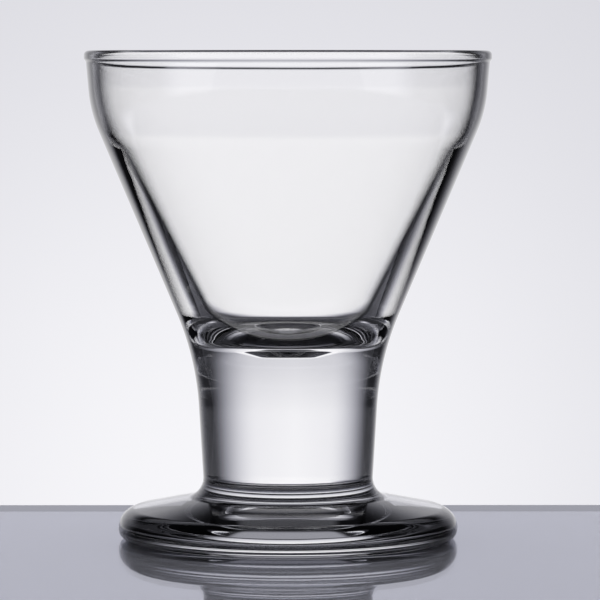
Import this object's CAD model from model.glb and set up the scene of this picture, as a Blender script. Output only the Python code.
"""A clear pressed rocks glass on a glossy table in front of a soft round glow."""

import math

import bpy
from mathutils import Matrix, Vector


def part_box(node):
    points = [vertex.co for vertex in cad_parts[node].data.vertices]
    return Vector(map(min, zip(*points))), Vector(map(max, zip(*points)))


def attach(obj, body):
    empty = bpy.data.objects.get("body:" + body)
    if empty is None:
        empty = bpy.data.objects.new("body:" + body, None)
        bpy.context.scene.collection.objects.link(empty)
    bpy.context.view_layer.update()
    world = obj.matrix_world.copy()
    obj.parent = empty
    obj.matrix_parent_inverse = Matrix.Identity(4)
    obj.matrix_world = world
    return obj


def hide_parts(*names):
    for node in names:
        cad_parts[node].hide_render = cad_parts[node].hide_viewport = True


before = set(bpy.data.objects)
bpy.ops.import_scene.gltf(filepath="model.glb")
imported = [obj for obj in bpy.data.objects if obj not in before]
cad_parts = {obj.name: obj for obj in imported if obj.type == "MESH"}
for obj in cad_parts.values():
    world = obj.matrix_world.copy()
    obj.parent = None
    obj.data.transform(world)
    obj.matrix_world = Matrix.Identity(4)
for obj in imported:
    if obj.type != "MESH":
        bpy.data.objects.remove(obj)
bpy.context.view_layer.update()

MM = 0.001
SAME_POINT = 1e-6 * MM

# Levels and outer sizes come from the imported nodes, the rest repeats the source's sizes
FOOT_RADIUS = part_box("foot")[1].x
STEM_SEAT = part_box("stem")[0].z
BOWL_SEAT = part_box("bowl")[0].z
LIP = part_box("bowl")[1].z
RIM_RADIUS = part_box("bowl")[1].x

FOOT_EDGE_HEIGHT = 5.6 * MM
FOOT_RISE = 3.6 * MM
TOE_ROUND = 1.95 * MM
NOSE_ROUND = 4.1 * MM
COLLAR_ROUND = 4.1 * MM
CONTACT_RING_WIDTH = 1.8 * MM
RING_RADIUS = FOOT_RADIUS - TOE_ROUND - CONTACT_RING_WIDTH
HOLLOW_DEPTH = 0.9 * MM

STEM_RADIUS = 17.29 * MM
STEM_TAPER = 1.68 * MM
FLARE_ROUND = 58 * MM

FLOOR_THICKNESS = 2.2 * MM
DIMPLE_FLAT_RADIUS = 3.7 * MM
DIMPLE_FLAT_ROUND = 2.5 * MM
DIMPLE_EDGE_RADIUS = 7.3 * MM
DIMPLE_EDGE_ROUND = 4 * MM
DIMPLE_DEPTH = 1.4 * MM
FLOOR_RADIUS = 12.3 * MM
FLOOR_FALL = 0.4 * MM
FLOOR_ROUND = 6.5 * MM
HEEL_WALL = 2.5 * MM
HEEL_HEIGHT = 8.3 * MM
HEEL_ROUND = 28.6 * MM
SHOULDER_RADIUS = 40.5 * MM
SHOULDER_DROP = 12.55 * MM
SHOULDER_ROUND = 27.7 * MM
SHOULDER_WALL = 1.2 * MM
INNER_SHOULDER_DROP = 13.4 * MM
INNER_SHOULDER_ROUND = 30 * MM

BEAD_WIDTH = 1.9 * MM
BEAD_HEIGHT = 1.75 * MM
BEAD_STEP = 0.42 * MM
BEAD_FALL = 0.6 * MM
BEAD_FILLET = 0.65 * MM

# The heights at which the pieces are fused
SEAMS = (STEM_SEAT, BOWL_SEAT)

# Fineness of the turned surfaces
SIDES = 320
CHORD_ERROR = 0.002 * MM
LEAST_ARC_STEPS = 3
HOLLOW_STEPS = 24

# Clear glass. The bowl and the stem darken where they turn away, from one share of it to another.
GLASS_IOR = 1.52
CLEAR = (1, 1, 1, 1)
EDGE_DARK = (0, 0, 0, 1)
EDGE_SHARES = (0.56, 0.78, 0, 1)
EVEN_FACING = 0.5
DARK_EDGED = ("bowl", "stem")

# Faint waviness that pressing leaves on the skin
WAVE_SCALE = 55
WAVE_STRENGTH = 0.05
WAVE_HEIGHT = 0.4 * MM

# Photograph: a long lens a little above the rim, looking slightly down
PIXELS = 600
PIXEL_SIZE = 0.2053 * MM
LENS_PIXELS = 3800
CAMERA_HEIGHT = 99 * MM
CAMERA_PITCH = math.radians(3.66)
CAMERA_YAW = math.radians(-0.181)
SENSOR_WIDTH = 36
CLIP_START = 10 * MM

# Table: a glass plate whose two faces mirror the glow, over a pale board. Through the glass
# the board is dark round the foot and pale further off: a ramp by the distance from the middle.
TABLE_HALF_WIDTH = 400 * MM
TABLE_FRONT = 600 * MM
TABLE_BACK = 56.6 * MM
PLATE_IOR = 1.5
PLATE_SINK = 0.57 * MM
PLATE_REACH = 8.5 * MM
BOARD_SINK = 1.4 * MM
CONTACT_GAP = 0.02 * MM
PLATE_TOP_TINT = (0.80, 0.81, 0.88, 1)
PLATE_BOTTOM_TINT = (0.38, 0.385, 0.44, 1)
BOARD_ROUND_FOOT = (40 * MM, 170 * MM, 0.12, 1)
BOARD_BLACK = (0.03, 0.03, 0.035, 1)
BOARD_PALE = (0.42, 0.425, 0.46, 1)

# Light. Directions are in degrees: azimuth from straight behind the glass, elevation from level.
# A ramp is where it starts and ends, and the levels at those two places.
BACKDROP_AZIMUTH = -0.8
BACKDROP_ELEVATION = -7
BACKDROP_SPREAD = 5.65
BACKDROP_LEVEL = 0.66
BACKDROP_PEAK = 0.939

GLOW_AZIMUTH = -2.9
GLOW_SIDES = (16, 51, 1, 0)
GLOW_FADE_ASIDE = (0, 50, 1.0, 0.82)
GLOW_FADE_UPWARDS = (-6, 12, 1.0, 0.73)
GLOW_TOP = (26, 14, 0, 1)
GLOW_BOTTOM = (-33, -24, 0.05, 1)
LOW_GLOW_SHARE = (-9, -15, 0, 1)
LOW_GLOW_LEFT = (-34, -19, 0, 1)
LOW_GLOW_RIGHT = (40, 12, 0, 1)

OVERHEAD_LOW = (25, 32, 0, 0.33)
OVERHEAD_HIGH = (52, 43, 0, 1)
OVERHEAD_SIDES = (38, 26, 0, 1)
BEHIND_SIDES = (96, 118, 0, 0.85)
BEHIND_TOP = (14, 2, 0, 1)
FLOOR_SIDE_TOP = (-12, -20, 0, 0.8)
FLOOR_SIDE_START = (55, 65, 0, 1)
FLOOR_LOW_TOP = (-40, -47, 0, 0.7)
FLOOR_LOW_START = (12, 24, 0, 1)

STUDIO_DARK = 0.02
AMBIENT = 0.75
DIM_TINT = (0.94, 0.945, 1.115, 1)
BRIGHT_TINT = (0.996, 0.991, 1.013, 1)


class Knot:
    """One place on an outline, with the direction that the surface faces there."""

    def __init__(self, point, normal):
        self.point = point
        self.normal = normal


def cross(a, b):
    return a.x * b.y - a.y * b.x


def facing(side):
    """The outward normal of a side, for an outline that keeps the solid on its left."""
    return Vector((side.y, -side.x)).normalized()


def turned_by(vector, angle):
    c, s = math.cos(angle), math.sin(angle)
    return Vector((c * vector.x - s * vector.y, s * vector.x + c * vector.y))


def rounded_outline(corners):
    """Knots along the corners (radius, height, round), each rounded by an arc.

    An arc touches both sides. Where two arcs meet on a short side, both shrink to fit it.
    """
    points = [Vector(corner[:2]) for corner in corners]
    rounds = [corner[2] if len(corner) > 2 else 0 for corner in corners]
    sides = [b - a for a, b in zip(points, points[1:])]
    turns = [0] * len(points)
    for i in range(1, len(sides)):
        turns[i] = math.atan2(cross(sides[i - 1], sides[i]), sides[i - 1].dot(sides[i]))
    reaches = [r * math.tan(abs(turn) / 2) for r, turn in zip(rounds, turns)]
    wanted = [max(a + b, SAME_POINT) for a, b in zip(reaches, reaches[1:])]
    fits = [min(1, side.length / need) for side, need in zip(sides, wanted)]
    knots = []
    for i, point in enumerate(points):
        if reaches[i] > 0:
            round_here = rounds[i] * min(fits[i - 1], fits[i])
            knots += corner_arc(point, sides[i - 1], turns[i], round_here)
            continue
        if i > 0:
            knots.append(Knot(point, facing(sides[i - 1])))
        if i < len(sides):
            knots.append(Knot(point, facing(sides[i])))
    return knots


def corner_arc(point, side_before, turn, radius):
    along = side_before.normalized()
    start = point - along * radius * math.tan(abs(turn) / 2)
    inwards = Vector((-along.y, along.x)) * math.copysign(1, turn)
    centre = start + inwards * radius
    step = 2 * math.acos(1 - CHORD_ERROR / radius)
    steps = max(LEAST_ARC_STEPS, math.ceil(abs(turn) / step))
    first = facing(side_before)
    angles = [turn * i / steps for i in range(steps + 1)]
    return [
        Knot(centre + turned_by(start - centre, angle), turned_by(first, angle))
        for angle in angles
    ]


def split_at(knots, height):
    """The knots below and above a height, both with the knot where the outline crosses it."""
    after = next(i for i, knot in enumerate(knots) if knot.point.y > height)
    low, high = knots[after - 1], knots[after]
    share = (height - low.point.y) / (high.point.y - low.point.y)
    normal = low.normal.lerp(high.normal, share).normalized()
    crossing = Knot(low.point.lerp(high.point, share), normal)
    return knots[:after] + [crossing], [crossing] + knots[after:]


def hollow_outline():
    """The shallow dome under the foot, from the middle out to the ring that it stands on."""
    knots = []
    for i in range(HOLLOW_STEPS + 1):
        share = i / HOLLOW_STEPS
        slope = Vector((RING_RADIUS, -2 * HOLLOW_DEPTH * share))
        point = Vector((RING_RADIUS * share, HOLLOW_DEPTH * (1 - share**2)))
        knots.append(Knot(point, facing(slope)))
    return knots


def skin_outline():
    """The whole skin in one line: contact ring, foot, stem, cone, lip and down inside the bowl."""
    foot_top = FOOT_EDGE_HEIGHT + FOOT_RISE
    heel_radius = STEM_RADIUS + STEM_TAPER
    bead_bottom = LIP - BEAD_HEIGHT
    dimple_floor = BOWL_SEAT + FLOOR_THICKNESS
    dimple_edge = dimple_floor + DIMPLE_DEPTH
    return rounded_outline([
        (RING_RADIUS, 0),
        (FOOT_RADIUS, 0, TOE_ROUND),
        (FOOT_RADIUS, FOOT_EDGE_HEIGHT, NOSE_ROUND),
        (STEM_RADIUS, foot_top, COLLAR_ROUND),
        (heel_radius, BOWL_SEAT, FLARE_ROUND),
        (SHOULDER_RADIUS, LIP - SHOULDER_DROP, SHOULDER_ROUND),
        (RIM_RADIUS - BEAD_STEP, bead_bottom - BEAD_FALL, BEAD_FILLET),
        (RIM_RADIUS, bead_bottom, BEAD_FILLET),
        (RIM_RADIUS, LIP, BEAD_WIDTH / 2),
        (RIM_RADIUS - BEAD_WIDTH, LIP, BEAD_WIDTH / 2),
        (SHOULDER_RADIUS - SHOULDER_WALL, LIP - INNER_SHOULDER_DROP, INNER_SHOULDER_ROUND),
        (heel_radius - HEEL_WALL, BOWL_SEAT + HEEL_HEIGHT, HEEL_ROUND),
        (FLOOR_RADIUS, dimple_edge + FLOOR_FALL, FLOOR_ROUND),
        (DIMPLE_EDGE_RADIUS, dimple_edge, DIMPLE_EDGE_ROUND),
        (DIMPLE_FLAT_RADIUS, dimple_floor, DIMPLE_FLAT_ROUND),
        (0, dimple_floor),
    ])


def flat_disc(rim_knot, height, up, outwards):
    """The flat face on which two pieces of the glass are fused, from or to the middle."""
    normal = Vector((0, 1 if up else -1))
    ends = [Knot(Vector((0, height)), normal), Knot(rim_knot.point.copy(), normal)]
    return ends if outwards else ends[::-1]


class Ring:
    """The vertices that one point of an outline makes: one on the axis, or one for each side."""

    def __init__(self, point, first):
        self.point = point
        self.first = first
        self.count = 1 if point.x < SAME_POINT else SIDES

    def vertex(self, k):
        return self.first + k % self.count


def swung(flat, k):
    """A point or direction of the outline, swung round the axis to side k."""
    angle = 2 * math.pi * k / SIDES
    return (flat.x * math.cos(angle), flat.x * math.sin(angle), flat.y)


def make_rings(knots):
    """A ring for each knot. Knots at one point share theirs."""
    rings = []
    first = 0
    for knot in knots:
        if rings and (knot.point - rings[-1].point).length < SAME_POINT:
            rings.append(rings[-1])
            continue
        rings.append(Ring(knot.point, first))
        first += rings[-1].count
    return rings


def on_seam(low, high):
    level = low.point.y
    return level == high.point.y and any(abs(level - seam) < SAME_POINT for seam in SEAMS)


def turned(name, knots):
    """A closed mesh from an outline turned round the axis. Its fused faces get the second slot."""
    rings = make_rings(knots)
    vertices = []
    for i, ring in enumerate(rings):
        if i == 0 or ring is not rings[i - 1]:
            vertices += [swung(ring.point, k) for k in range(ring.count)]
    faces, normals, slots = [], [], []
    for i in range(len(knots) - 1):
        if rings[i] is rings[i + 1]:
            continue
        slot = int(on_seam(knots[i], knots[i + 1]))
        for k in range(SIDES):
            corners = [(i, k), (i, k + 1), (i + 1, k + 1), (i + 1, k)]
            if rings[i].count == 1:
                corners.pop(1)
            if rings[i + 1].count == 1:
                corners.pop(-2)
            faces.append([rings[n].vertex(j) for n, j in corners])
            normals += [swung(knots[n].normal, j) for n, j in corners]
            slots.append(slot)
    mesh = bpy.data.meshes.new(name)
    mesh.from_pydata(vertices, [], faces)
    mesh.polygons.foreach_set("use_smooth", [True] * len(faces))
    mesh.polygons.foreach_set("material_index", slots)
    mesh.normals_split_custom_set(normals)
    piece = bpy.data.objects.new(name, mesh)
    bpy.context.scene.collection.objects.link(piece)
    return piece


def new_material(name):
    material = bpy.data.materials.new(name)
    material.use_nodes = True
    return material, material.node_tree


def glass_material(name, dark_edge):
    """Clear glass, faintly wavy. A dark edge takes the light out where the wall turns away."""
    material, tree = new_material(name)
    shader = tree.nodes["Principled BSDF"]
    shader.inputs["Base Color"].default_value = CLEAR
    shader.inputs["Roughness"].default_value = 0
    shader.inputs["IOR"].default_value = GLASS_IOR
    shader.inputs["Transmission Weight"].default_value = 1
    place = tree.nodes.new("ShaderNodeTexCoord")
    waves = tree.nodes.new("ShaderNodeTexNoise")
    waves.inputs["Scale"].default_value = WAVE_SCALE
    bump = tree.nodes.new("ShaderNodeBump")
    bump.inputs["Strength"].default_value = WAVE_STRENGTH
    bump.inputs["Distance"].default_value = WAVE_HEIGHT
    tree.links.new(place.outputs["Object"], waves.inputs["Vector"])
    tree.links.new(waves.outputs["Fac"], bump.inputs["Height"])
    tree.links.new(bump.outputs["Normal"], shader.inputs["Normal"])
    if dark_edge:
        maths = Maths(tree)
        facing = tree.nodes.new("ShaderNodeLayerWeight")
        facing.inputs["Blend"].default_value = EVEN_FACING
        share = maths.ramp(facing.outputs["Facing"], *EDGE_SHARES)
        tree.links.new(maths.mix(CLEAR, EDGE_DARK, share), shader.inputs["Base Color"])
    return material


def seam_material():
    """Where two pieces are fused, light goes straight on."""
    material, tree = new_material("fused_seam")
    tree.nodes.remove(tree.nodes["Principled BSDF"])
    clear = tree.nodes.new("ShaderNodeBsdfTransparent")
    tree.links.new(clear.outputs["BSDF"], tree.nodes["Material Output"].inputs["Surface"])
    return material


def add_pieces():
    foot_run, upper_run = split_at(skin_outline(), STEM_SEAT)
    stem_run, bowl_run = split_at(upper_run, BOWL_SEAT)
    seam = seam_material()
    foot_top = flat_disc(foot_run[-1], STEM_SEAT, up=True, outwards=False)
    stem_bottom = flat_disc(stem_run[0], STEM_SEAT, up=False, outwards=True)
    stem_top = flat_disc(stem_run[-1], BOWL_SEAT, up=True, outwards=False)
    bowl_bottom = flat_disc(bowl_run[0], BOWL_SEAT, up=False, outwards=True)
    outlines = {
        "foot": hollow_outline() + foot_run + foot_top,
        "stem": stem_bottom + stem_run + stem_top,
        "bowl": bowl_bottom + bowl_run,
    }
    for node, outline in outlines.items():
        piece = turned(node + "_glass", outline)
        piece.data.materials.append(glass_material(node + "_clear", node in DARK_EDGED))
        piece.data.materials.append(seam)
        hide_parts(node)
        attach(piece, "root")


def staged(name, corners, material):
    """One rectangle of the table."""
    mesh = bpy.data.meshes.new(name)
    mesh.from_pydata(corners, [], [(0, 1, 2, 3)])
    mesh.materials.append(material)
    floor = bpy.data.objects.new(name, mesh)
    bpy.context.scene.collection.objects.link(floor)


def sheet(name, back, depth, material):
    """A level rectangle of the table, facing up."""
    corners = [
        (-TABLE_HALF_WIDTH, -TABLE_FRONT, -depth),
        (TABLE_HALF_WIDTH, -TABLE_FRONT, -depth),
        (TABLE_HALF_WIDTH, back, -depth),
        (-TABLE_HALF_WIDTH, back, -depth),
    ]
    staged(name, corners, material)


def mixed(tree, share, first, second):
    mix = tree.nodes.new("ShaderNodeMixShader")
    tree.links.new(share, mix.inputs["Fac"])
    tree.links.new(first, mix.inputs[1])
    tree.links.new(second, mix.inputs[2])
    return mix.outputs["Shader"]


def show_from_above(tree, shader):
    """Leaves the table out from below, so that the underside of the foot can be seen."""
    clear = tree.nodes.new("ShaderNodeBsdfTransparent")
    side = tree.nodes.new("ShaderNodeNewGeometry")
    shown = mixed(tree, side.outputs["Backfacing"], shader, clear.outputs["BSDF"])
    tree.links.new(shown, tree.nodes["Material Output"].inputs["Surface"])


def mirror_material(name, tint):
    """A face of the plate: a mirror at its Fresnel share, and clear for the rest."""
    material, tree = new_material(name)
    tree.nodes.remove(tree.nodes["Principled BSDF"])
    clear = tree.nodes.new("ShaderNodeBsdfTransparent")
    gloss = tree.nodes.new("ShaderNodeBsdfGlossy")
    gloss.inputs["Color"].default_value = tint
    gloss.inputs["Roughness"].default_value = 0
    fresnel = tree.nodes.new("ShaderNodeFresnel")
    fresnel.inputs["IOR"].default_value = PLATE_IOR
    face = mixed(tree, fresnel.outputs["Fac"], clear.outputs["BSDF"], gloss.outputs["BSDF"])
    show_from_above(tree, face)
    return material


def matt_material(name):
    """Matt black, whose colour may still be given another source."""
    material, tree = new_material(name)
    shader = tree.nodes["Principled BSDF"]
    shader.inputs["Roughness"].default_value = 1
    shader.inputs["Specular IOR Level"].default_value = 0
    shader.inputs["Base Color"].default_value = BOARD_BLACK
    show_from_above(tree, shader.outputs["BSDF"])
    return material, tree, shader.inputs["Base Color"]


def board_material(name):
    """Matt and pale. Through the glass it is dark round the foot."""
    material, tree, colour = matt_material(name)
    maths = Maths(tree)
    place = tree.nodes.new("ShaderNodeTexCoord")
    distance = tree.nodes.new("ShaderNodeVectorMath")
    distance.operation = "LENGTH"
    tree.links.new(place.outputs["Object"], distance.inputs["Vector"])
    path = tree.nodes.new("ShaderNodeLightPath")
    far = maths.ramp(distance.outputs["Value"], *BOARD_ROUND_FOOT)
    pale = maths.node("MAXIMUM", path.outputs["Is Camera Ray"], far)
    tree.links.new(maths.mix(BOARD_BLACK, BOARD_PALE, pale), colour)
    return material


def add_table():
    top_face = mirror_material("plate_top_face", PLATE_TOP_TINT)
    bottom_face = mirror_material("plate_bottom_face", PLATE_BOTTOM_TINT)
    sheet("plate_top", TABLE_BACK, CONTACT_GAP, top_face)
    sheet("plate_bottom", TABLE_BACK - PLATE_REACH, PLATE_SINK, bottom_face)
    sheet("board", TABLE_BACK, BOARD_SINK, board_material("board_matt"))
    corners = [
        (-TABLE_HALF_WIDTH, TABLE_BACK, -BOARD_SINK),
        (TABLE_HALF_WIDTH, TABLE_BACK, -BOARD_SINK),
        (TABLE_HALF_WIDTH, TABLE_BACK, -CONTACT_GAP),
        (-TABLE_HALF_WIDTH, TABLE_BACK, -CONTACT_GAP),
    ]
    edge_dark, _, _ = matt_material("plate_edge_dark")
    staged("plate_edge", corners, edge_dark)


class Maths:
    """Short names for the value nodes that the world and the materials are drawn with."""

    def __init__(self, tree):
        self.tree = tree

    def node(self, operation, *values):
        made = self.tree.nodes.new("ShaderNodeMath")
        made.operation = operation
        for value, socket in zip(values, made.inputs):
            self.put(value, socket)
        return made.outputs[0]

    def put(self, value, socket):
        if isinstance(value, (int, float, tuple)):
            socket.default_value = value
        else:
            self.tree.links.new(value, socket)

    def blend(self, low, high, share):
        """The low value where the share is 0, the high one where it is 1."""
        step = self.node("SUBTRACT", high, low)
        return self.node("ADD", low, self.node("MULTIPLY", share, step))

    def mix(self, first, second, share):
        """The same for two colours."""
        made = self.tree.nodes.new("ShaderNodeMix")
        made.data_type = "RGBA"
        self.put(first, made.inputs["A"])
        self.put(second, made.inputs["B"])
        self.put(share, made.inputs["Factor"])
        return made.outputs["Result"]

    def times(self, *values):
        product = values[0]
        for value in values[1:]:
            product = self.node("MULTIPLY", product, value)
        return product

    def line(self, value, start, end, low, high):
        """A straight ramp, held level past both ends."""
        return self.ramp(value, start, end, low, high, "LINEAR")

    def ramp(self, value, start, end, low, high, kind="SMOOTHSTEP"):
        """From the low level at the start to the high one at the end, easing in and out."""
        made = self.tree.nodes.new("ShaderNodeMapRange")
        made.interpolation_type = kind
        self.put(value, made.inputs["Value"])
        self.put(start, made.inputs["From Min"])
        self.put(end, made.inputs["From Max"])
        self.put(low, made.inputs["To Min"])
        self.put(high, made.inputs["To Max"])
        return made.outputs["Result"]


def add_world():
    world = bpy.data.worlds.new("studio")
    bpy.context.scene.world = world
    world.use_nodes = True
    tree = world.node_tree
    tree.nodes.clear()
    maths = Maths(tree)
    direction = tree.nodes.new("ShaderNodeTexCoord")
    axes = tree.nodes.new("ShaderNodeSeparateXYZ")
    tree.links.new(direction.outputs["Generated"], axes.inputs["Vector"])
    across, along, up = axes.outputs
    azimuth = maths.node("DEGREES", maths.node("ARCTAN2", across, along))
    elevation = maths.node("DEGREES", maths.node("ARCSINE", up))

    # Backdrop, as the camera sees it straight: a pale wall with a soft round glow
    aside = maths.node("SUBTRACT", azimuth, BACKDROP_AZIMUTH)
    above = maths.node("SUBTRACT", elevation, BACKDROP_ELEVATION)
    away = maths.node("ADD", maths.times(aside, aside), maths.times(above, above))
    bell = maths.node("EXPONENT", maths.times(away, -1 / (2 * BACKDROP_SPREAD**2)))
    backdrop = maths.blend(BACKDROP_LEVEL, BACKDROP_PEAK, bell)

    # Studio, as glass and gloss see it: the glow ahead, narrower low down
    aside = maths.node("ABSOLUTE", maths.node("SUBTRACT", azimuth, GLOW_AZIMUTH))
    wide = maths.times(
        maths.ramp(aside, *GLOW_SIDES),
        maths.line(aside, *GLOW_FADE_ASIDE),
    )
    narrow = maths.times(
        maths.ramp(azimuth, *LOW_GLOW_LEFT),
        maths.ramp(azimuth, *LOW_GLOW_RIGHT),
    )
    glow = maths.times(
        maths.blend(wide, narrow, maths.ramp(elevation, *LOW_GLOW_SHARE)),
        maths.line(elevation, *GLOW_FADE_UPWARDS),
        maths.ramp(elevation, *GLOW_TOP),
        maths.ramp(elevation, *GLOW_BOTTOM),
    )

    # Weaker lights above, behind and below, mostly for the other sides of the glass
    away = maths.node("ABSOLUTE", azimuth)
    overhead = maths.times(
        maths.ramp(elevation, *OVERHEAD_LOW),
        maths.ramp(elevation, *OVERHEAD_HIGH),
        maths.ramp(away, *OVERHEAD_SIDES),
    )
    behind = maths.times(
        maths.ramp(away, *BEHIND_SIDES),
        maths.ramp(elevation, *BEHIND_TOP),
    )
    floor_side = maths.times(
        maths.ramp(elevation, *FLOOR_SIDE_TOP),
        maths.ramp(away, *FLOOR_SIDE_START),
    )
    floor_low = maths.times(
        maths.ramp(elevation, *FLOOR_LOW_TOP),
        maths.ramp(away, *FLOOR_LOW_START),
    )
    studio = maths.node("ADD", glow, STUDIO_DARK)
    for part in (overhead, behind, floor_side, floor_low):
        studio = maths.node("MAXIMUM", studio, part)

    path = tree.nodes.new("ShaderNodeLightPath")
    gloss, through = path.outputs["Is Glossy Ray"], path.outputs["Is Transmission Ray"]
    specular = maths.node("MAXIMUM", gloss, through)
    level = maths.blend(AMBIENT, studio, specular)
    level = maths.blend(level, backdrop, path.outputs["Is Camera Ray"])
    background = tree.nodes.new("ShaderNodeBackground")
    output = tree.nodes.new("ShaderNodeOutputWorld")
    tree.links.new(maths.mix(DIM_TINT, BRIGHT_TINT, level), background.inputs["Color"])
    tree.links.new(level, background.inputs["Strength"])
    tree.links.new(background.outputs["Background"], output.inputs["Surface"])


def add_camera():
    camera = bpy.data.objects.new("camera", bpy.data.cameras.new("camera"))
    bpy.context.scene.collection.objects.link(camera)
    bpy.context.scene.camera = camera
    camera.location = (0, -LENS_PIXELS * PIXEL_SIZE, CAMERA_HEIGHT)
    camera.rotation_euler = (math.pi / 2 - CAMERA_PITCH, 0, CAMERA_YAW)
    camera.data.sensor_width = SENSOR_WIDTH
    camera.data.lens = SENSOR_WIDTH * LENS_PIXELS / PIXELS
    camera.data.clip_start = CLIP_START


add_camera()
add_pieces()
add_table()
add_world()

bpy.context.scene.view_settings.view_transform = "Standard"
